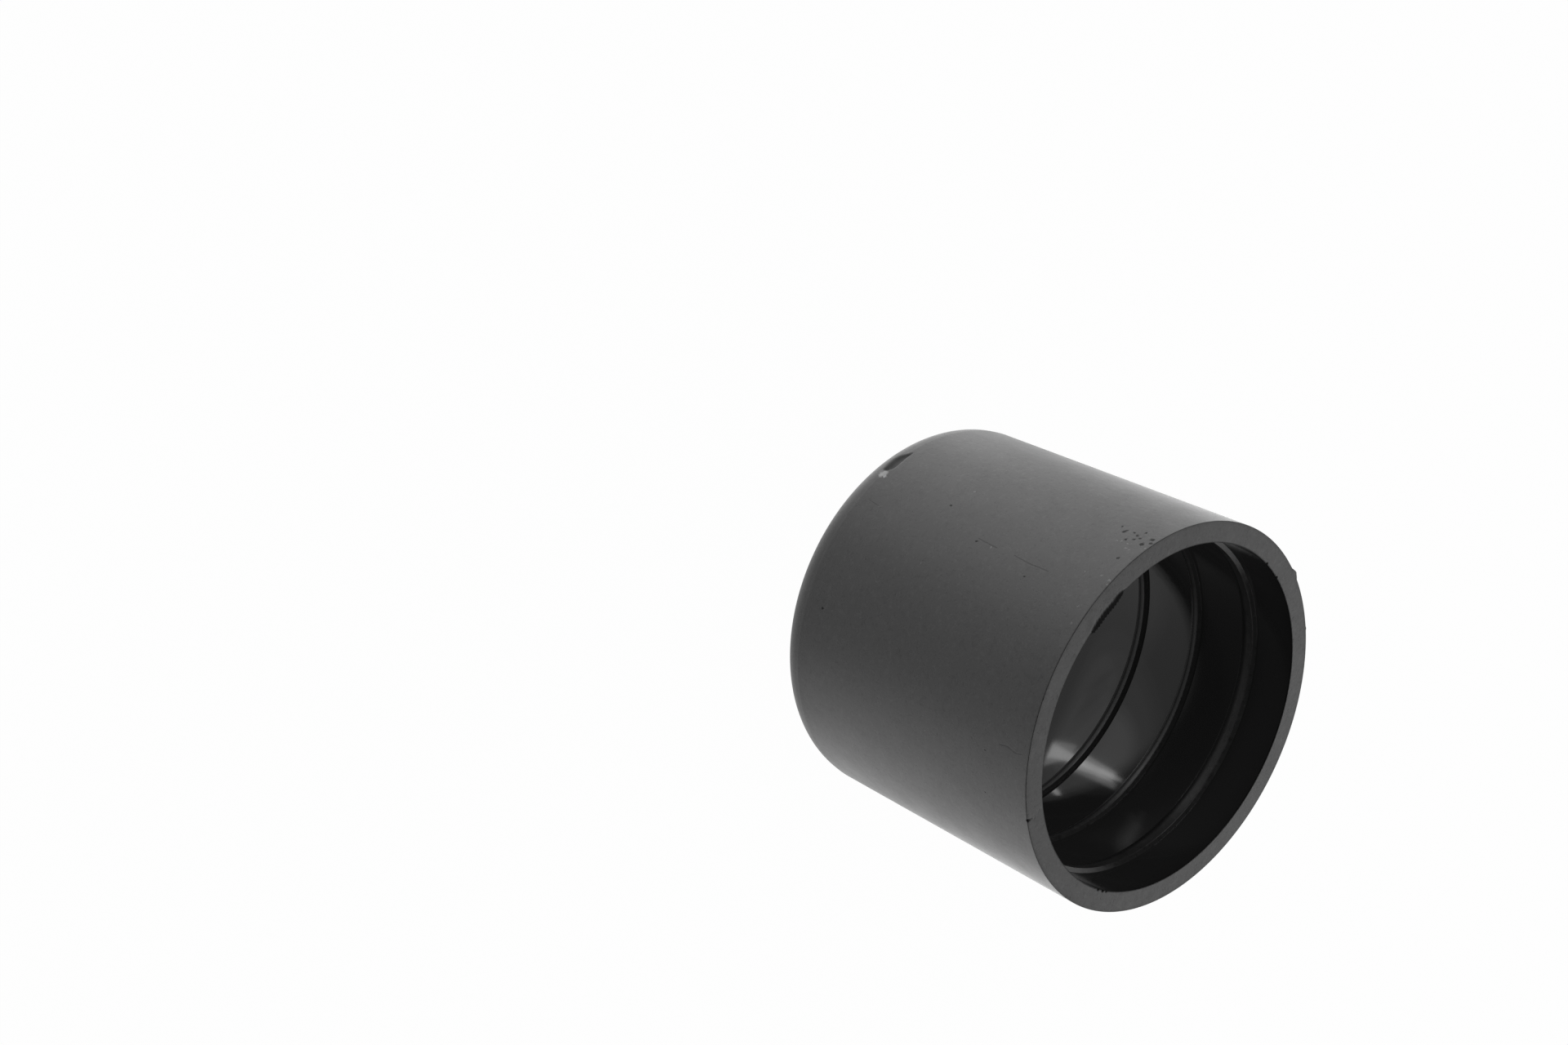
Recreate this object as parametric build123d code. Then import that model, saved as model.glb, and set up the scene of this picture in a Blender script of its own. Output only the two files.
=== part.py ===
from build123d import *
import os
from math import cos, radians, sqrt, tan

# Push-on end cap for a round plastic pipe, moulded in one piece.
# Millimetres. +Z is the cap's axis and points out of the open mouth.
# The origin is the centre of the closed end's outer face, on which the cap stands.

# Pipe that the cap closes
pipe_diameter = 32.0

# Gripping ribs round the bore: a steep face towards the mouth, a narrow land on the pipe,
# a crest that falls back from it and a sloped back. The first crest is the longest.
rib_height = 0.45
rib_face_length = 0.15
rib_land = 0.1
first_crest_length = 0.97
crest_length = 0.47
crest_fall = 0.06
rib_back_length = 0.5
first_rib_depth = 4.15
rib_pitch = 6.75
plain_bottom = 9.0

# Tubular wall, measured at the mouth, and the closed end
wall = 2.0
end_wall = 2.2
length = 32.75
outer_draft = 0.5
bore_draft = 0.15
corner_radius = 3.0
bore_corner_bevel = 0.9
rim_outer_edge = 0.12
rim_bore_edge = 0.1

# Gate mark in the middle of the closed end, sunk so that the end stands flat
gate_recess_diameter = 5.0
gate_recess_depth = 0.4
gate_stub_diameter = 1.6
gate_stub_height = 0.25

# Gouge along the closed-end corner, as a round bar leaves it: deep at one end, running out at the other
gouge_length = 3.6
gouge_depth = 0.35
gouge_bar_diameter = 4.2
gouge_tip = 5.5
gouge_height = 2.45
gouge_angle = 232.0

# Chip out of the bore's edge at the mouth, as a ball leaves it: widest in its middle, running out at both ends
chip_length = 5.1
chip_width = 0.45
chip_depth = 0.6
chip_angle = 247.5

pipe_radius = pipe_diameter / 2
bore_radius = pipe_radius + rib_height
outer_radius = bore_radius + wall
end_radius = outer_radius - length * tan(radians(outer_draft))
bore_depth = length - end_wall
ribbed_depth = bore_depth - first_rib_depth - plain_bottom
rib_count = 1 + int(ribbed_depth / rib_pitch)


def bore_wall_radius(depth):
    """Radius of the drafted bore at a depth below the mouth."""
    return bore_radius - depth * tan(radians(bore_draft))


def outside_section():
    """Half section of the outside: drafted wall, rounded closed-end corner, small bevel round the rim."""
    outline = Polyline(
        (0, 0),
        (end_radius, 0),
        (outer_radius, length - rim_outer_edge),
        (outer_radius - rim_outer_edge, length),
        (0, length),
        close=True,
    )
    face = make_face(outline)
    corner = face.vertices().sort_by_distance((end_radius, 0))[0]
    return fillet(corner, corner_radius)


def rib_points(depth, crest):
    """Corners of one rib, from its mouth side to its deep side."""
    land_top = depth + rib_face_length
    land_low = land_top + rib_land
    crest_low = land_low + crest
    back_end = crest_low + rib_back_length
    return [
        (bore_wall_radius(depth), length - depth),
        (pipe_radius, length - land_top),
        (pipe_radius, length - land_low),
        (pipe_radius + crest_fall, length - crest_low),
        (bore_wall_radius(back_end), length - back_end),
    ]


def bore_section():
    """Half section of the blind bore: bevelled mouth, wall with its ribs standing in, bevelled bottom."""
    above = length + rim_bore_edge
    flare_radius = bore_radius + 2 * rim_bore_edge
    bottom_radius = bore_wall_radius(bore_depth)
    points = [(0, above), (flare_radius, above), (bore_radius, length - rim_bore_edge)]
    points += rib_points(first_rib_depth, first_crest_length)
    for index in range(1, rib_count):
        points += rib_points(first_rib_depth + index * rib_pitch, crest_length)
    points += [
        (bottom_radius, end_wall + bore_corner_bevel),
        (bottom_radius - bore_corner_bevel, end_wall),
        (0, end_wall),
    ]
    return make_face(Polyline(*points, close=True))


def gate_section():
    """Half section of what the gate mark takes out of the closed end."""
    recess = Pos(gate_recess_diameter / 4, 0) * Rectangle(gate_recess_diameter / 2, 2 * gate_recess_depth)
    stub_top = gate_recess_depth - gate_stub_height
    stub_middle = (stub_top + gate_recess_depth) / 2
    stub = Pos(gate_stub_diameter / 4, stub_middle) * Rectangle(gate_stub_diameter / 2, gate_stub_height)
    return recess - stub


def gouge_tool():
    """Round bar laid along the corner and tipped, so that one end bites and the other runs out of it."""
    below_shoulder = corner_radius - gouge_height
    surface = end_radius - corner_radius + sqrt(corner_radius**2 - below_shoulder**2)
    reach = gouge_length / 2
    deepest = sqrt(surface**2 - reach**2) - gouge_depth
    bar_radius = gouge_bar_diameter / 2
    bar = Cylinder(bar_radius, 1.3 * gouge_length, align=(Align.CENTER, Align.CENTER, Align.MAX))
    laid = Rot(0, 0, gouge_tip) * Rot(-90, 0, 0) * bar
    return Rot(0, 0, gouge_angle) * Pos(deepest + bar_radius, reach, gouge_height) * laid


def chip_tool():
    """Ball that cuts the bore's mouth edge to the chip's length, the rim to its width and the bore to its depth."""
    half_angle = chip_length / 2 / bore_radius
    bulge = bore_radius * (1 - cos(half_angle))
    ball_place = chip_width * (bore_radius + chip_width / 2) / (bulge + chip_width)
    rim_reach = bore_radius + chip_width - ball_place
    wall_reach = bore_radius - ball_place
    ball_rise = (rim_reach**2 - wall_reach**2 - chip_depth**2) / (2 * chip_depth)
    ball_radius = sqrt(rim_reach**2 + ball_rise**2)
    return Rot(0, 0, chip_angle) * Pos(ball_place, 0, length + ball_rise) * Sphere(ball_radius)


def pipe_cap():
    """The whole cap: its half section turned about the axis, less the gouge and the chip."""
    section = outside_section() - bore_section() - gate_section()
    body = revolve(Plane.XZ * section, Axis.Z)
    return body - gouge_tool() - chip_tool()


os.makedirs("parts", exist_ok=True)
export_step(pipe_cap(), "parts/pipe_cap.step")
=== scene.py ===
import math
import bpy
import numpy as np
from mathutils import Matrix, Vector


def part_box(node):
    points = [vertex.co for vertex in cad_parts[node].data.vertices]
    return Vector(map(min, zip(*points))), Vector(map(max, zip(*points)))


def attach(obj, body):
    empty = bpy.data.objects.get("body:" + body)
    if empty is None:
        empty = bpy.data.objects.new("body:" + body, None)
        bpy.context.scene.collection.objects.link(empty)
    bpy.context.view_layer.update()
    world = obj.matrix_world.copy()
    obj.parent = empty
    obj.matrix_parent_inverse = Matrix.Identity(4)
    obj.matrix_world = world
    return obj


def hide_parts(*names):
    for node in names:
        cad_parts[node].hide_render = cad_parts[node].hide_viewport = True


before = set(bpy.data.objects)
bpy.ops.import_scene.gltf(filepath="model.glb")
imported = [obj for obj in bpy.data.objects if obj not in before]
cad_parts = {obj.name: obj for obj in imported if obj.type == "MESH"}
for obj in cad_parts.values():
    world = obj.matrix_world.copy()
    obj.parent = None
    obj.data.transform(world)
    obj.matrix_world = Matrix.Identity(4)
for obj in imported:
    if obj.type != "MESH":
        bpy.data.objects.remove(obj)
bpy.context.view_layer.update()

# Cap body. A thin-walled cup, injection moulded in one shot of black rigid PVC round a polished core.
# The cavity side is spark-eroded, so the outside and the rim are matte and the bore is glossy.
# Three ribs grip the pipe. Each has a steep face towards the mouth, a narrow land and a falling crest.
mm = 0.001
body_low, body_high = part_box("pipe_cap")
length = (body_high.z - body_low.z) / mm
pipe_radius = 16.0
rib_height = 0.45
rib_face_length = 0.15
rib_land = 0.1
rib_crest_lengths = (0.97, 0.47, 0.47)
rib_crest_falls = (0.10, 0.06, 0.06)
rib_back_length = 0.5
first_rib_depth = 4.15
rib_pitch = 6.75
wall = 2.0
end_wall = 2.2
outer_draft = 0.5
bore_draft = 0.15
corner_radius = 3.0
bore_corner_radius = 1.3
rim_outer_round = 0.04
rim_bore_round = 0.06
gate_recess_radius = 2.5
gate_recess_depth = 0.4
gate_stub_radius = 0.8
gate_stub_height = 0.25
bore_radius = pipe_radius + rib_height
outer_radius = bore_radius + wall

# The section's points are closest where there are marks: on the closed-end corner and the wall up to the
# gouge stretch's top, and next to the rim's two edges, over the lengths given here.
# Its first and last points are short of the axis, and a fan of triangles closes each end.
crisp = 0.03
gouge_stretch_start = -60
gouge_stretch_top = 4.2
flash_stretch = 1.0
torn_rim_stretch = 0.65
torn_bore_stretch = 0.6
outer_fan_radius = 0.24
inner_fan_radius = 0.5


def straight(start, end, steps, hold=0.0):
    """Straight stretch of the section: start + t (end - start), t even from 0 up to but not 1.
    hold adds a point that far from each end, so that smooth shading stays crisp at the corners."""
    start, end = np.array(start), np.array(end)
    t = np.arange(steps) / steps
    if hold:
        near = hold / np.hypot(*(end - start))
        t = np.concatenate([[0.0], np.linspace(near, 1 - near, steps)])
    return start + t[:, None] * (end - start)


def arc(centre, radius, first, last, steps):
    """Round stretch: centre + radius (cos a, sin a), a even in degrees from first up to but not last."""
    a = np.radians(first + (last - first) * np.arange(steps) / steps)
    return np.array(centre) + radius * np.stack([np.cos(a), np.sin(a)], 1)


def outside_wall(height):
    """Radius and height of a point on the drafted outside."""
    return outer_radius - (length - height) * math.tan(math.radians(outer_draft)), height


def bore_wall(height):
    """Radius and height of a point on the drafted bore between the ribs."""
    return bore_radius - (length - height) * math.tan(math.radians(bore_draft)), height


def rib(depth, crest_length, crest_fall):
    """One rib from its mouth side to its deep side: steep face, land, crest that falls back, sloped back.
    Returns the stretches and the point where the back meets the wall."""
    face_end = depth + rib_face_length
    land_end = face_end + rib_land
    crest_end = land_end + crest_length
    foot, heel = bore_wall(length - depth), bore_wall(length - crest_end - rib_back_length)
    land_top, land_low = (pipe_radius, length - face_end), (pipe_radius, length - land_end)
    edge = (pipe_radius + crest_fall, length - crest_end)
    stretches = [
        straight(foot, land_top, 3, crisp),
        straight(land_top, land_low, 2),
        straight(land_low, edge, 4, crisp),
        straight(edge, heel, 4, crisp),
    ]
    return stretches, heel


def cap_section():
    """Half section from the middle of the closed end, up the outside, over the rim and down the bore.
    Returns its points and the number of the first point that the polished core moulded."""
    corner = (outside_wall(0)[0] - corner_radius, corner_radius)
    stub_top = gate_recess_depth - gate_stub_height
    flash_start = outside_wall(length - flash_stretch)
    rim_middle = (bore_radius + torn_rim_stretch, length)
    outside = [
        straight((outer_fan_radius, stub_top), (gate_stub_radius, stub_top), 2, crisp),
        straight((gate_stub_radius, stub_top), (gate_stub_radius, gate_recess_depth), 2, crisp),
        straight((gate_stub_radius, gate_recess_depth), (gate_recess_radius, gate_recess_depth), 2, crisp),
        straight((gate_recess_radius, gate_recess_depth), (gate_recess_radius, 0), 2, crisp),
        straight((gate_recess_radius, 0), (corner[0], 0), 5, crisp),
        arc(corner, corner_radius, -90, gouge_stretch_start, 5),
        arc(corner, corner_radius, gouge_stretch_start, 0, 21),
        straight(outside_wall(corner_radius), outside_wall(gouge_stretch_top), 9),
        straight(outside_wall(gouge_stretch_top), flash_start, 10),
        straight(flash_start, (outer_radius, length - rim_outer_round), 9),
        arc((outer_radius - rim_outer_round, length - rim_outer_round), rim_outer_round, 0, 90, 5),
        straight((outer_radius - rim_outer_round, length), rim_middle, 5, crisp),
        straight(rim_middle, (bore_radius + rim_bore_round, length), 7),
    ]
    last = bore_wall(length - torn_bore_stretch)
    inside = [
        arc((bore_radius + rim_bore_round, length - rim_bore_round), rim_bore_round, 90, 180, 4),
        straight((bore_radius, length - rim_bore_round), last, 7),
    ]
    for index, (crest_length, crest_fall) in enumerate(zip(rib_crest_lengths, rib_crest_falls)):
        depth = first_rib_depth + index * rib_pitch
        stretches, heel = rib(depth, crest_length, crest_fall)
        inside.append(straight(last, bore_wall(length - depth), 4, crisp))
        inside += stretches
        last = heel
    bore_end = bore_wall(end_wall)[0]
    bore_corner = (bore_end - bore_corner_radius, end_wall + bore_corner_radius)
    inside += [
        straight(last, (bore_end, end_wall + bore_corner_radius), 5, crisp),
        arc(bore_corner, bore_corner_radius, 0, -90, 7),
        straight((bore_corner[0], end_wall), (inner_fan_radius, end_wall), 4),
    ]
    return np.concatenate(outside + inside), sum(len(stretch) for stretch in outside)


plain_step = 1.5
fine_step = 0.3
marked_zones = ((222.0, 262.0), (150.0, 171.0), (131.5, 136.0), (312.5, 316.5), (0.0, 7.0))
counting_steps = 7200


def column_angles():
    """Angles of the mesh's columns: columns per degree are added up round the cap and read off at whole
    numbers, with the fine step in the zones that carry marks and the plain step elsewhere."""
    a = np.linspace(0, 360, counting_steps + 1)
    fine = sum(((a > first) & (a < last)).astype(float) for first, last in marked_zones)
    per_degree = 1 / plain_step + fine * (1 / fine_step - 1 / plain_step)
    count = np.concatenate([[0], np.cumsum((per_degree[1:] + per_degree[:-1]) / 2 * (a[1] - a[0]))])
    columns = int(count[-1])
    return np.radians(np.interp(np.arange(columns) * count[-1] / columns, count, a))


gouge_angles = (226.9, 228.4, 230.0, 232.0, 234.4, 236.0, 237.0, 237.4)
gouge_tops = (3.32, 3.37, 3.40, 3.45, 3.50, 3.42, 3.05, 2.60)
gouge_feet = (3.28, 2.90, 2.30, 2.05, 2.12, 2.25, 2.40, 2.60)
gouge_depth = 0.32
dent_mark_slope = 3
least = 1e-6


def gouge(r, z, a):
    """Spoon-shaped gouge in the closed-end corner, between a foot and a top height at each angle.
    With v the share of the way up it, the surface sinks along the corner's normal by
    depth 6.75 v^2 (1 - v), which is depth at most, times the root of its height over the greatest one.
    Returns the new radius and height and a mark that is 1 in it."""
    degrees = np.degrees(a)
    corner_centre = outside_wall(0)[0] - corner_radius
    top = np.interp(degrees, gouge_angles, gouge_tops, left=0.0, right=0.0)
    foot = np.interp(degrees, gouge_angles, gouge_feet, left=0.0, right=0.0)
    tall = np.maximum(top - foot, least)
    v = np.clip((z - foot) / tall, 0, 1)
    hit = (r > corner_centre) & (top > 0)
    bowl = np.where(hit, 6.75 * v**2 * (1 - v), 0)
    sunk = gouge_depth * bowl * np.minimum(tall / max(gouge_tops), 1) ** 0.5
    out, up = r - corner_centre, np.minimum(z - corner_radius, 0)
    reach = np.maximum(np.hypot(out, up), least)
    return r - sunk * out / reach, z - sunk * up / reach, np.clip(dent_mark_slope * bowl, 0, 1)


tear_angles = (238.4, 239.6, 240.8, 242.5, 245.0, 249.0, 253.0, 255.4, 256.6, 257.2)
tear_lips = (0.0, 0.08, 0.38, 0.50, 0.64, 0.62, 0.66, 0.56, 0.30, 0.0)
tear_widths = (0.0, 0.19, 0.38, 0.48, 0.38, 0.44, 0.40, 0.28, 0.12, 0.0)
tear_drop = 0.12
tear_height = 0.6
tear_reach = 1.0
tear_mark_slope = 4
long_ripple, short_ripple = 0.11, 0.09
long_ripple_turn, short_ripple_turn = 5.1, 11.3


def tear(r, z, a):
    """Torn length of the bore's edge at the mouth. The rim sinks towards the edge, by drop (1 - u / width)
    at a distance u from it, and the edge leans into the bore by a lip that ends tear_height below the rim.
    Width and lip follow the angle, with two sine ripples where the plastic tore.
    Returns the new radius and height and a mark that is 1 in the tear."""
    degrees = np.degrees(a)
    ripple = 1 + long_ripple * np.sin(degrees * long_ripple_turn)
    ripple = ripple + short_ripple * np.sin(degrees * short_ripple_turn + 1.0)
    width = np.interp(degrees, tear_angles, tear_widths, left=0.0, right=0.0) * ripple
    lip = np.interp(degrees, tear_angles, tear_lips, left=0.0, right=0.0) * ripple
    u, v = r - bore_radius, length - z
    near_edge = np.clip(1 - np.maximum(u, 0) / np.maximum(width, least), 0, 1)
    under = np.clip(1 - v / tear_height, 0, 1)
    hit = (width > 0) & (np.abs(u) < tear_reach) & (v < tear_height)
    lean = np.where(hit, near_edge * under, 0)
    mark = np.where(hit, np.clip(tear_mark_slope * near_edge, 0, 1), 0)
    return r - lip * lean, z - tear_drop * lean, mark


flash_angles = (132.9, 133.5, 134.6, 151.9, 152.7, 153.5, 154.1, 154.9, 156.9)
flash_heights = (0.0, 0.07, 0.0, 0.0, 0.12, 0.19, 0.27, 0.23, 0.0)
flash_reach = 0.4


def flash(r, z, a):
    """Two nibs of flash on the rim's outer edge: the edge moves out by their height at each angle,
    fading to nothing at the flash's reach from the edge."""
    height = np.interp(np.degrees(a), flash_angles, flash_heights, left=0.0, right=0.0)
    away = np.hypot(outer_radius - r, length - z)
    return r + height * np.clip(1 - away / flash_reach, 0, 1)


# Nicks: angle, radius, size and depth of each.
nick_places = ((168.6, 16.55, 0.14, 0.07), (160.4, 16.50, 0.14, 0.08), (314.5, 18.42, 0.16, 0.13),
               (4.3, 16.50, 0.20, 0.06), (1.8, 16.52, 0.15, 0.06), (6.2, 16.50, 0.14, 0.05))


def nicks(r, z, a):
    """Small dents in the rim's two edges: each lowers the points round its middle by
    depth (1 - (d / size)^2), d being the distance from the middle.
    Returns the new height and a mark that is 1 in the dents."""
    mark = np.zeros(r.shape)
    for angle, radius, size, depth in nick_places:
        across = r * np.cos(a) - radius * math.cos(math.radians(angle))
        along = r * np.sin(a) - radius * math.sin(math.radians(angle))
        bowl = np.clip(1 - (across**2 + along**2 + (z - length) ** 2) / size**2, 0, 1)
        z = z - depth * bowl
        mark = np.maximum(mark, np.clip(dent_mark_slope * bowl, 0, 1))
    return z, mark


section, first_inside = cap_section()
angles = column_angles()
rows, columns = len(section), len(angles)
r = np.repeat(section[:, :1], columns, 1)
z = np.repeat(section[:, 1:], columns, 1)
a = np.repeat(angles[None, :], rows, 0)
r, z, gouged = gouge(r, z, a)
r, z, ripped = tear(r, z, a)
r = flash(r, z, a)
z, nicked = nicks(r, z, a)

# Dullness and painted shade: the share of dark, rough plastic without gloss on the marks, the rim's two
# edges and the ribs.
# On the gouge, the tear and the nicks it is partly rough broken plastic and partly painted shade; on the
# rim's edges and the ribs it is painted shade.
# A rib's painted shade is deepest at the deep end of its crest.
gouge_dull_and_shade = 0.55
outer_edge_width = 0.10
outer_edge_shade = 0.35
bore_edge_rows = 5
bore_edge_shade = 0.6
crest_shade = 0.35
crest_end_shade = 0.85
crest_end_length = 0.3
back_shades = (0.85, 0.25, 0.25)
back_fade = 0.15
row_slack = 0.01
row_numbers = np.arange(rows)
depths = length - section[:, 1]
bore_edge = (row_numbers >= first_inside) & (row_numbers < first_inside + bore_edge_rows)
row_shade = np.where(bore_edge, bore_edge_shade, 0.0)
for index, (crest_length, back_shade) in enumerate(zip(rib_crest_lengths, back_shades)):
    start = first_rib_depth + index * rib_pitch + rib_face_length + rib_land
    end = start + crest_length
    heel = end + rib_back_length
    here = (row_numbers > first_inside) & (depths > start - row_slack) & (depths < heel + row_slack)
    shade_depths = (start, end - crest_end_length, end, end + back_fade, heel)
    shades = np.interp(depths, shade_depths, (crest_shade, crest_shade, crest_end_shade, back_shade, back_shade))
    row_shade = np.where(here, shades, row_shade)
# Painted shade on the bore's edge rows and on each rib's crest and back.
painted_row_shade = np.repeat(row_shade[:, None], columns, 1)
from_outer_edge = np.hypot(r - outer_radius, z - length)
outer_edge = np.clip(1 - from_outer_edge / outer_edge_width, 0, 1) * (r > bore_radius + wall / 2)
torn_and_shade = np.maximum.reduce([gouged * gouge_dull_and_shade, ripped, nicked, outer_edge * outer_edge_shade, painted_row_shade])

# Polish: 1 on what the core moulded, from below the bore edge's round to the bottom, and less on the ribs.
rib_polish = 0.35
polished_row = row_numbers >= first_inside + 3
above_corner = section[:, 1] > end_wall + bore_corner_radius
on_rib = polished_row & above_corner & (section[:, 0] < bore_wall(section[:, 1])[0] - row_slack)
polish = np.repeat(np.where(on_rib, rib_polish, polished_row.astype(float))[:, None], columns, 1)

grid = np.stack([r * np.cos(a), r * np.sin(a), z], -1).reshape(-1, 3)
poles = [[0, 0, section[0, 1]], [0, 0, section[-1, 1]]]
row, column = np.meshgrid(np.arange(rows - 1), np.arange(columns), indexing="ij")
after = (column + 1) % columns
quads = np.stack([row * columns + column, row * columns + after,
                  (row + 1) * columns + after, (row + 1) * columns + column], -1).reshape(-1, 4)
ring = np.arange(columns)
ring_after = (ring + 1) % columns
last_ring = (rows - 1) * columns
outer_pole, inner_pole = rows * columns, rows * columns + 1
first_fan = np.stack([ring_after, ring, np.full(columns, outer_pole)], 1)
last_fan = np.stack([last_ring + ring, last_ring + ring_after, np.full(columns, inner_pole)], 1)
faces = quads.tolist() + first_fan.tolist() + last_fan.tolist()
cap_mesh = bpy.data.meshes.new("cap_shell")
cap_mesh.from_pydata(np.concatenate([grid, poles]) * mm, [], faces)
cap_mesh.shade_smooth()
for name, value, outer_end, inner_end in (("polish", polish, 0.0, 1.0), ("torn_and_shade", torn_and_shade, 0.0, 0.0)):
    layer = cap_mesh.attributes.new(name, "FLOAT", "POINT")
    layer.data.foreach_set("value", np.append(value, [outer_end, inner_end]))
cap = bpy.data.objects.new("cap_shell", cap_mesh)
bpy.context.collection.objects.link(cap)


class Wire:
    """An output socket in an expression: + - * / add Math nodes, also with a number on the left."""

    def __init__(self, tree, socket=None):
        self.tree = tree
        self.socket = socket

    def node(self, kind, settings, sockets, output=0):
        """Adds one node: its settings first, then the value or wire of each named or numbered socket."""
        made = self.tree.nodes.new(kind)
        for name, value in settings.items():
            setattr(made, name, value)
        for name, value in sockets.items():
            if isinstance(value, Wire):
                self.tree.links.new(value.socket, made.inputs[name])
            else:
                made.inputs[name].default_value = value
        return Wire(self.tree, made.outputs[output])

    def math(self, operation, *others):
        """A Math node on this wire and on more wires or numbers."""
        return self.node("ShaderNodeMath", {"operation": operation}, dict(enumerate((self, *others))))

    def vector(self, operation, *others, output=0):
        """A Vector Math node on this wire and on more wires or vectors."""
        sockets = dict(enumerate((self, *others)))
        return self.node("ShaderNodeVectorMath", {"operation": operation}, sockets, output)

    def between(self, low, high):
        """0 below low, 1 above high, smooth between; the other way round where low is the higher."""
        ends = {"Value": self, "From Min": low, "From Max": high}
        return self.node("ShaderNodeMapRange", {"interpolation_type": "SMOOTHSTEP"}, ends)

    def __add__(self, other):
        return self.math("ADD", other)

    def __sub__(self, other):
        return self.math("SUBTRACT", other)

    def __rsub__(self, other):
        return self.math("MULTIPLY_ADD", -1.0, other)

    def __mul__(self, other):
        return self.math("MULTIPLY", other)

    def __truediv__(self, other):
        return self.math("DIVIDE", other)

    __radd__ = __add__
    __rmul__ = __mul__


black_pvc = bpy.data.materials.new("black_pvc")
black_pvc.use_nodes = True
plastic = Wire(black_pvc.node_tree)
polished = plastic.node("ShaderNodeAttribute", {"attribute_name": "polish"}, {}, "Fac")
broken_and_shade = plastic.node("ShaderNodeAttribute", {"attribute_name": "torn_and_shade"}, {}, "Fac")
matte = 1 - polished
place = plastic.node("ShaderNodeTexCoord", {}, {}, "Object").vector("MULTIPLY", (1 / mm, 1 / mm, 1 / mm))
axis_parts = plastic.node("ShaderNodeSeparateXYZ", {}, {0: place})
east = Wire(plastic.tree, axis_parts.socket.node.outputs["X"])
north = Wire(plastic.tree, axis_parts.socket.node.outputs["Y"])
height = Wire(plastic.tree, axis_parts.socket.node.outputs["Z"])
front = 270.0
round_cap = east.math("ARCTAN2", -1.0 * north) * outer_radius
unrolled = plastic.node("ShaderNodeCombineXYZ", {}, {"X": round_cap, "Y": height})


def noise(vector, scale, detail, output="Fac"):
    """Noise texture about 0.5, in cells of 1 / scale millimetres."""
    sockets = {"Vector": vector, "Scale": scale, "Detail": detail}
    return plastic.node("ShaderNodeTexNoise", {}, sockets, output)


stray_scale = 3.5
stray_reach = 0.35
stray = noise(unrolled, stray_scale, 1.0, "Color").vector("SUBTRACT", (0.5, 0.5, 0.5))
ragged = unrolled.vector("ADD", stray.vector("MULTIPLY", (stray_reach, stray_reach, 0.0)))
spot_rim, spot_core = 1.3, 0.5
scratch_core = 0.3


def unroll(angle, up):
    """Place of an outside point on the unrolled wall: millimetres round from the front, and height."""
    return (math.radians(angle - front) * outer_radius, up, 0.0)


def spot(angle, up, radius):
    """1 in a spot with a ragged edge on the unrolled wall and 0 outside it, by distance from its middle."""
    away = ragged.vector("DISTANCE", unroll(angle, up), output="Value")
    return away.between(radius * spot_rim, radius * spot_core)


def scratch(first, last, width):
    """1 on a line between two outside points and 0 beyond its width: distance to the line's nearest point,
    found at the share of the way that the point's offset has along the line, held between 0 and 1."""
    start, way = Vector(unroll(*first)), Vector(unroll(*last)) - Vector(unroll(*first))
    offset = unrolled.vector("SUBTRACT", start)
    share = offset.vector("DOT_PRODUCT", way, output="Value") / way.length_squared
    held = share.math("MAXIMUM", 0.0).math("MINIMUM", 1.0)
    along = plastic.node("ShaderNodeVectorMath", {"operation": "SCALE"}, {0: way, "Scale": held})
    away = offset.vector("DISTANCE", along, output="Value")
    return away.between(width, width * scratch_core)


def highest(masks):
    """The highest of several masks at each point."""
    top = masks[0]
    for mask in masks[1:]:
        top = top.math("MAXIMUM", mask)
    return top


# Marks on the outside: angle, height and radius of each spot, and both ends and the width of each scratch.
pit_places = (
    (223.4, 28.51, 0.14), (225.1, 29.28, 0.20), (224.2, 29.32, 0.16), (227.8, 30.17, 0.15),
    (226.6, 30.77, 0.17), (224.7, 30.64, 0.18), (225.3, 31.09, 0.15), (227.1, 31.84, 0.20),
    (222.3, 30.89, 0.13), (224.0, 32.16, 0.24), (225.6, 32.45, 0.17), (223.9, 30.08, 0.12),
    (234.8, 31.36, 0.14), (239.9, 12.45, 0.12), (251.3, 24.85, 0.12), (247.3, 17.87, 0.13),
    (283.1, 5.23, 0.13), (299.3, 27.69, 0.11), (312.1, 27.74, 0.10),
)
pale_places = (
    (229.4, 29.55, 0.11), (228.8, 29.93, 0.13), (230.7, 31.03, 0.12), (228.9, 30.74, 0.10),
    (230.8, 31.44, 0.10), (228.2, 32.50, 0.12), (242.0, 31.48, 0.11), (242.5, 32.44, 0.14),
    (243.9, 32.55, 0.12), (257.7, 31.97, 0.12), (253.0, 31.54, 0.10), (243.0, 29.75, 0.09),
    (232.2, 13.14, 0.10), (259.7, 13.95, 0.09), (247.2, 19.64, 0.09), (238.3, 2.75, 0.42),
    (239.4, 3.55, 0.20),
)
scuff_places = ((238.5, 3.10, 0.38), (239.2, 2.95, 0.32), (239.3, 3.40, 0.20))
scratch_places = (
    ((246.3, 17.9), (246.8, 20.2), 0.10), ((246.8, 22.4), (247.3, 24.3), 0.09),
    ((247.3, 24.3), (247.2, 26.6), 0.10), ((248.6, 4.2), (249.1, 5.6), 0.08),
    ((295.6, 29.3), (295.1, 30.2), 0.11), ((295.1, 30.2), (295.8, 31.3), 0.11),
    ((295.8, 31.3), (295.3, 32.0), 0.08),
)
pits = highest([spot(*place_and_size) for place_and_size in pit_places]) * matte
pale = highest([spot(*place_and_size) for place_and_size in pale_places]) * matte
scuffs = highest([spot(*place_and_size) for place_and_size in scuff_places]) * matte
hairlines = highest([scratch(*ends_and_width) for ends_and_width in scratch_places]) * matte

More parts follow.
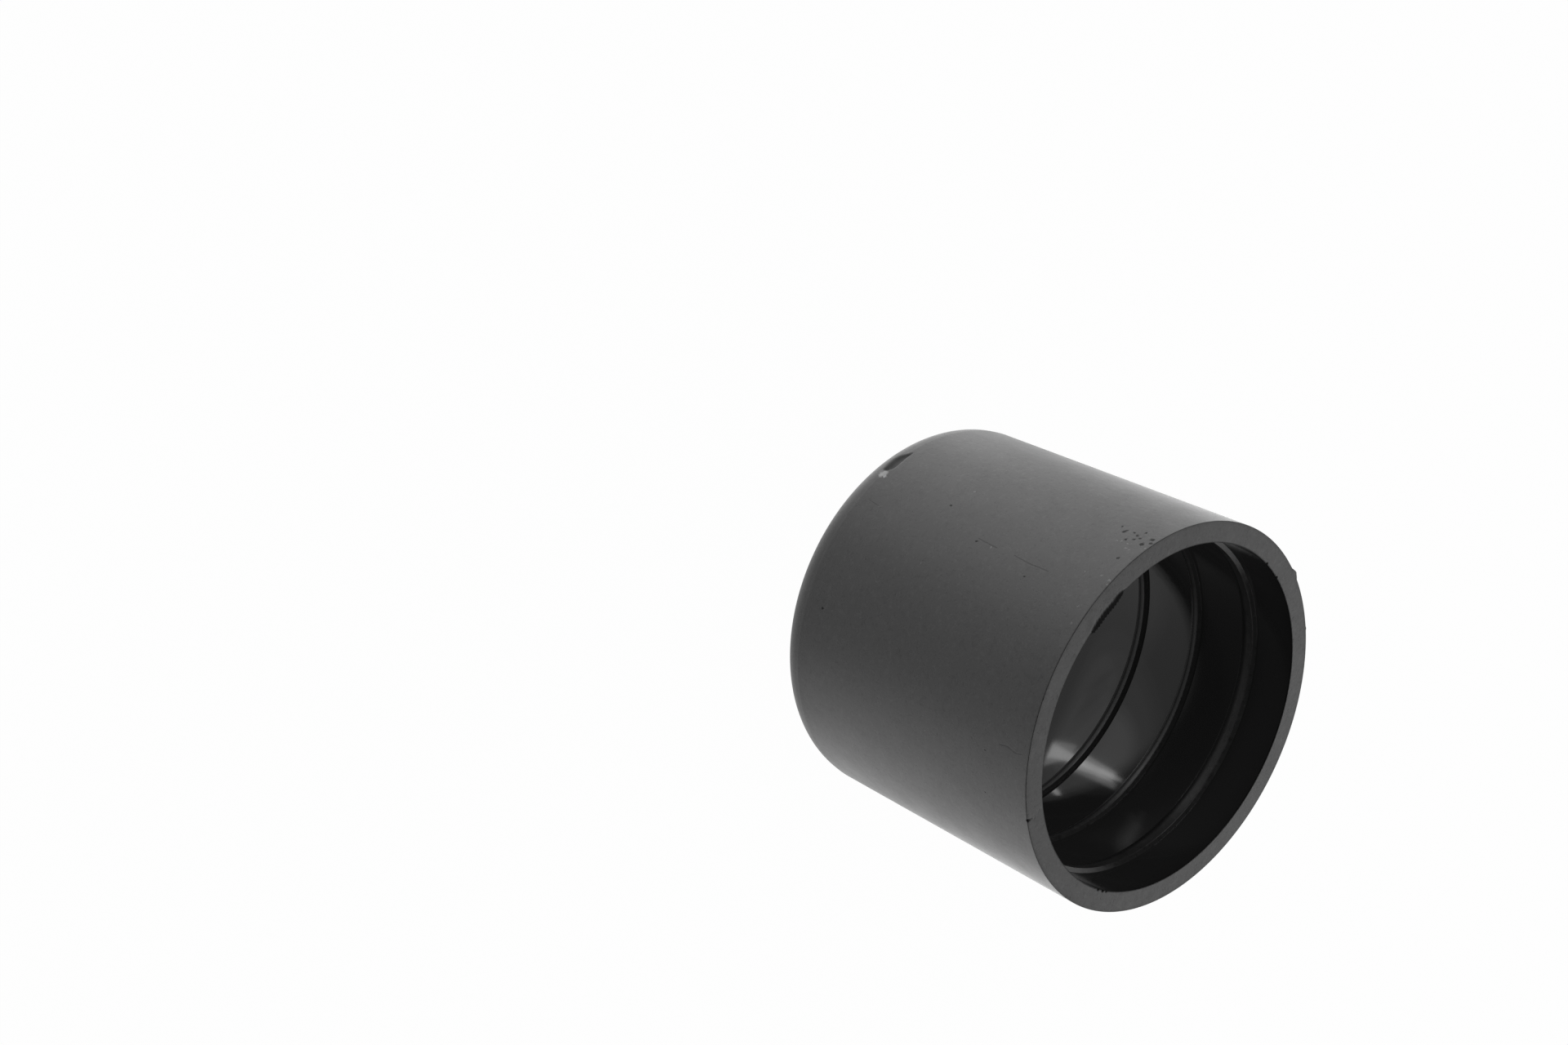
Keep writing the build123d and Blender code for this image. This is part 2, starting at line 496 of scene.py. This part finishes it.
# Patterns: fine grain, slow clouds, lines drawn along the cap, flecks, specks and dust.
# A fleck or speck starts and is full where its noise is so far above or below 0.5.
drawn_scale = (3.0, 0.35, 1.0)
fleck_start, fleck_full = 0.08, 0.20
speck_start, speck_full = 0.14, 0.22
dust_scale = 0.32
dust_rim, dust_core = 0.045, 0.02
grain = noise(place, 4.0, 2.0)
cloud = noise(place, 0.35, 2.0)
drawn = noise(plastic.node("ShaderNodeMapping", {}, {"Vector": unrolled, "Scale": drawn_scale}), 1.0, 2.0)
flecks = noise(place, 1.6, 1.0)
light_flecks = flecks.between(0.5 + fleck_start, 0.5 + fleck_full)
dark_flecks = flecks.between(0.5 - fleck_start, 0.5 - fleck_full)
specks = noise(place, 4.2, 1.0)
dark_specks = specks.between(0.5 - speck_start, 0.5 - speck_full)
light_specks = specks.between(0.5 + speck_start, 0.5 + speck_full)
dust_cells = plastic.node("ShaderNodeTexVoronoi", {}, {"Vector": place, "Scale": dust_scale}, "Distance")
dust = dust_cells.between(dust_rim, dust_core)

outside_tone = 0.035
# The bore's base colour is darker than the outside's, though it is the same plastic: painted shade inside
# the cup.
bore_tone_and_shade = 0.012
pale_tone = 0.16
scuff_tone = 0.75
dust_tone = 0.03
fleck_tone = 0.018
speck_tone = 0.024
mottle = fleck_tone * (light_flecks - dark_flecks) + speck_tone * (light_specks - dark_specks)
mottle = mottle + dust_tone * dust
tone = (outside_tone + mottle) * matte + bore_tone_and_shade * polished + pale_tone * pale + scuff_tone * scuffs
grey = plastic.node("ShaderNodeCombineColor", {}, {"Red": tone, "Green": tone, "Blue": tone})

outside_roughness = 0.42
bore_roughness = 0.08
cloud_roughness = 0.08
drawn_roughness = 0.05
hairline_roughness = 0.15
finish = outside_roughness * matte + bore_roughness * polished
uneven = cloud_roughness * (cloud - 0.5) + drawn_roughness * (drawn - 0.5)
finish = finish + uneven * matte + hairline_roughness * hairlines

grain_height = 0.004
drawn_height = 0.004
speck_depth = 0.006
pit_depth = 0.03
hairline_depth = 0.012
relief = (grain_height * grain + drawn_height * drawn - speck_depth * dark_specks) * matte
relief = relief - pit_depth * pits - hairline_depth * hairlines
bumped = plastic.node("ShaderNodeBump", {}, {"Strength": 1.0, "Distance": mm, "Height": relief}, "Normal")

# The cap's plastic glows faintly and evenly all over: painted light that lifts its darkest tones.
cap_painted_glow = 0.0025
moulded = plastic.tree.nodes["Principled BSDF"]
plastic.tree.links.new(grey.socket, moulded.inputs["Base Color"])
plastic.tree.links.new(finish.socket, moulded.inputs["Roughness"])
plastic.tree.links.new(bumped.socket, moulded.inputs["Normal"])
moulded.inputs["Emission Color"].default_value = (1, 1, 1, 1)
moulded.inputs["Emission Strength"].default_value = cap_painted_glow

# Dark, rough plastic with little gloss: the broken surface of the gouge, the tear and the nicks, and
# painted shade on them, on the rim's two edges and on the ribs.
break_and_shade_tone = 0.004
break_roughness = 0.8
break_gloss = 0.08
pit_break = 0.7
rough_break_and_shade = plastic.node("ShaderNodeBsdfPrincipled", {}, {
    "Base Color": (break_and_shade_tone, break_and_shade_tone, break_and_shade_tone, 1), "Roughness": break_roughness,
    "Specular IOR Level": break_gloss})
break_and_shade_share = broken_and_shade.math("MAXIMUM", pit_break * pits)
surface = plastic.node("ShaderNodeMixShader", {}, {
    0: break_and_shade_share, 1: Wire(plastic.tree, moulded.outputs[0]), 2: rough_break_and_shade})
plastic.tree.links.new(surface.socket, plastic.tree.nodes["Material Output"].inputs["Surface"])
cap.data.materials.append(black_pvc)

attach(cap, "root")
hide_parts("pipe_cap")

# Floor. A white sweep that shows as plain white and keeps the cap's shadow.
# It is matte paper to the lamps; to the camera and to glossy surfaces most of its white is its own.
# Its mirrored light is a painted glow, brightest towards three sides and dimmer in front, where it stands
# for the cap's shadow: azimuth, strength, and the cosine's power.
floor_half = 3.0
floor_white = 0.85
floor_roughness = 0.9
floor_seen_white = 0.985
floor_mirrored = ((216.0, 1.84, 1.65), (96.0, 3.5, 2.0), (352.0, 1.20, 1.0))
floor_mesh = bpy.data.meshes.new("floor")
floor_corners = [(-floor_half, -floor_half, 0), (floor_half, -floor_half, 0),
                 (floor_half, floor_half, 0), (-floor_half, floor_half, 0)]
floor_mesh.from_pydata(floor_corners, [], [(0, 1, 2, 3)])
floor = bpy.data.objects.new("floor", floor_mesh)
bpy.context.collection.objects.link(floor)
floor_paper = bpy.data.materials.new("floor_paper")
floor_paper.use_nodes = True
paper = Wire(floor_paper.node_tree)
paper_shader = paper.tree.nodes["Principled BSDF"]
paper_shader.inputs["Base Color"].default_value = (floor_white, floor_white, floor_white, 1)
paper_shader.inputs["Roughness"].default_value = floor_roughness
paper_shader.inputs["Specular IOR Level"].default_value = 0.0
own_light = paper.node("ShaderNodeEmission", {}, {"Strength": 1.0})
outward = paper.node("ShaderNodeTexCoord", {}, {}, "Object").vector("NORMALIZE")
painted_mirror_glow = 0.0
for azimuth, strength, power in floor_mirrored:
    side = (math.cos(math.radians(azimuth)), math.sin(math.radians(azimuth)), 0.0)
    towards = outward.vector("DOT_PRODUCT", side, output="Value").math("MAXIMUM", 0.0)
    painted_mirror_glow = painted_mirror_glow + strength * towards.math("POWER", power)
painted_mirror_grey = paper.node("ShaderNodeCombineColor", {}, {
    "Red": painted_mirror_glow, "Green": painted_mirror_glow, "Blue": painted_mirror_glow})
mirror_light = paper.node("ShaderNodeEmission", {}, {"Color": painted_mirror_grey, "Strength": 1.0})
seen = paper.node("ShaderNodeLightPath", {}, {}, "Is Camera Ray")
mirrored = Wire(paper.tree, seen.socket.node.outputs["Is Glossy Ray"])
shown_paper = paper.node("ShaderNodeMixShader", {}, {
    0: floor_seen_white * seen, 1: Wire(paper.tree, paper_shader.outputs[0]), 2: own_light})
mirrored_paper = paper.node("ShaderNodeAddShader", {}, {0: shown_paper, 1: mirror_light})
lit_paper = paper.node("ShaderNodeMixShader", {}, {0: mirrored, 1: shown_paper, 2: mirrored_paper})
paper.tree.links.new(lit_paper.socket, paper.tree.nodes["Material Output"].inputs["Surface"])
floor.data.materials.append(floor_paper)

# World. White where the camera looks past the floor, and a faint even fill from all round for the rest.
world_fill = 0.01
world = bpy.data.worlds.new("tent")
bpy.context.scene.world = world
world.use_nodes = True
tent = Wire(world.node_tree)
fill = tent.node("ShaderNodeBackground", {}, {"Color": (1, 1, 1, 1), "Strength": world_fill})
white = tent.node("ShaderNodeBackground", {}, {"Color": (1, 1, 1, 1), "Strength": 1.0})
direct = tent.node("ShaderNodeLightPath", {}, {}, "Is Camera Ray")
sky = tent.node("ShaderNodeMixShader", {}, {0: direct, 1: fill, 2: white})
tent.tree.links.new(sky.socket, tent.tree.nodes["World Output"].inputs["Surface"])

# Lamps. Three high softboxes that face the cap from its right, its back and its left.
# Azimuth and elevation in degrees, distance, width and height in metres, and brightness.
lamp_height = 0.016
lamps = {
    "right_high": (0, 28, 0.6, 0.40, 0.22, 1.3),
    "back_high": (90, 26, 0.6, 0.80, 0.50, 1.45),
    "left_high": (210, 28, 0.6, 0.40, 0.22, 2.9),
}
for name, (azimuth, elevation, distance, across, tall, brightness) in lamps.items():
    data = bpy.data.lights.new(name, "AREA")
    data.shape = "RECTANGLE"
    data.size = across
    data.size_y = tall
    data.energy = brightness * across * tall * math.pi
    lamp = bpy.data.objects.new(name, data)
    flat = math.cos(math.radians(elevation))
    way = Vector((math.cos(math.radians(azimuth)) * flat, math.sin(math.radians(azimuth)) * flat,
                  math.sin(math.radians(elevation))))
    stand = Matrix.Translation(way * distance + Vector((0, 0, lamp_height)))
    lamp.matrix_world = stand @ way.to_track_quat("Z", "Y").to_matrix().to_4x4()
    bpy.context.collection.objects.link(lamp)

# Light in the bore. Small lamps on its bottom, facing up and unseen themselves, which the glossy wall
# mirrors as the soft light and the bright streak of the photograph, and a faint one at the mouth.
# Middle, length and width in millimetres, turn in degrees, fade of the edge as a share, and brightness.
bore_lamps = {
    "bore_glow": ("DISK", 1.5, 1.0, 25.5, 25.5, 0.0, 0.06, 0.42),
    "left_wide": ("DISK", -5.0, -1.0, 17.0, 17.0, 0.0, 0.15, 0.155),
    "left_soft": ("DISK", -6.2, -0.8, 9.0, 9.0, 0.0, 0.2, 0.38),
    "near_soft": ("DISK", -3.0, 3.2, 7.0, 7.0, 0.0, 0.3, 0.28),
    "right_soft": ("DISK", 4.0, 5.5, 11.0, 11.0, 0.0, 0.2, 0.11),
    "streak_core": ("RECTANGLE", -7.2, 3.25, 13.9, 0.9, 39.0, 0.0, 2.3),
    "streak_near": ("RECTANGLE", -3.2, 6.4, 4.2, 1.6, 50.0, 0.0, 1.5),
    "streak_middle": ("RECTANGLE", -8.3, 2.3, 8.0, 2.2, 39.0, 0.0, 2.0),
    "streak_far": ("RECTANGLE", -10.8, 1.0, 3.6, 2.6, 36.0, 0.0, 0.6),
    "streak_skirt": ("RECTANGLE", -9.13, 3.12, 9.5, 1.6, 31.5, 0.0, 1.1),
    "glint": ("ELLIPSE", -6.7, 9.55, 1.9, 0.9, -5.0, 0.0, 2.8),
}
bore_lamp_clearance = 0.1
bore_lamp_gap = 0.01
mouth_lamp_depth = 0.2
mouth_across = 31.0
mouth_brightness = 0.13


def small_lamp(name, shape, middle, along, across, turning, brightness):
    """A lamp in the bore that the camera doesn't see, of brightness times its area times pi watts."""
    data = bpy.data.lights.new(name, "AREA")
    data.shape = shape
    data.size = along * mm
    data.size_y = across * mm
    area = along * across * mm * mm * (1.0 if shape == "RECTANGLE" else math.pi / 4)
    data.energy = brightness * area * math.pi
    lamp = bpy.data.objects.new(name, data)
    lamp.matrix_world = Matrix.Translation(Vector(middle) * mm) @ turning
    lamp.visible_camera = False
    bpy.context.collection.objects.link(lamp)
    return lamp


# A lamp with a fade is three lamps of a third of its brightness, one smaller and one larger by the fade.
level = end_wall + bore_lamp_clearance
for name, (shape, x, y, along, across, turn, fade, brightness) in bore_lamps.items():
    facing_up = Matrix.Rotation(math.radians(turn), 4, "Z") @ Matrix.Rotation(math.pi, 4, "X")
    spreads = (1 - fade, 1.0, 1 + fade) if fade else (1.0,)
    share = brightness / len(spreads)
    for spread in spreads:
        small_lamp(name, shape, (x, y, level), along * spread, across * spread, facing_up, share)
        level += bore_lamp_gap
mouth_lamp = small_lamp("mouth_fill", "DISK", (0, 0, length - mouth_lamp_depth), mouth_across, mouth_across,
                        Matrix.Identity(4), mouth_brightness)
mouth_lamp.visible_glossy = False

# Camera, where the photograph was taken from: above the mouth and in front of it.
# The frame is rolled, so that the cap lies on its side in the picture.
camera_lens = 59.379
sensor_width = 36.0
camera_place = Vector((-1.53108, -191.16361, 165.17762)) * mm
pitch = math.radians(44.26)
roll = math.radians(114.62)
camera_data = bpy.data.cameras.new("camera")
camera_data.lens = camera_lens
camera_data.sensor_width = sensor_width
camera_data.clip_start = 0.01
camera_data.clip_end = 20
camera = bpy.data.objects.new("camera", camera_data)
forward = Vector((0, math.cos(pitch), -math.sin(pitch)))
level_right = Vector((1, 0, 0))
level_up = level_right.cross(forward)
right = level_right * math.cos(roll) + level_up * math.sin(roll)
up = level_up * math.cos(roll) - level_right * math.sin(roll)
facing = Matrix((right, up, -forward)).transposed().to_4x4()
camera.matrix_world = Matrix.Translation(camera_place) @ facing
bpy.context.collection.objects.link(camera)
bpy.context.scene.camera = camera
bpy.context.scene.view_settings.view_transform = "Standard"
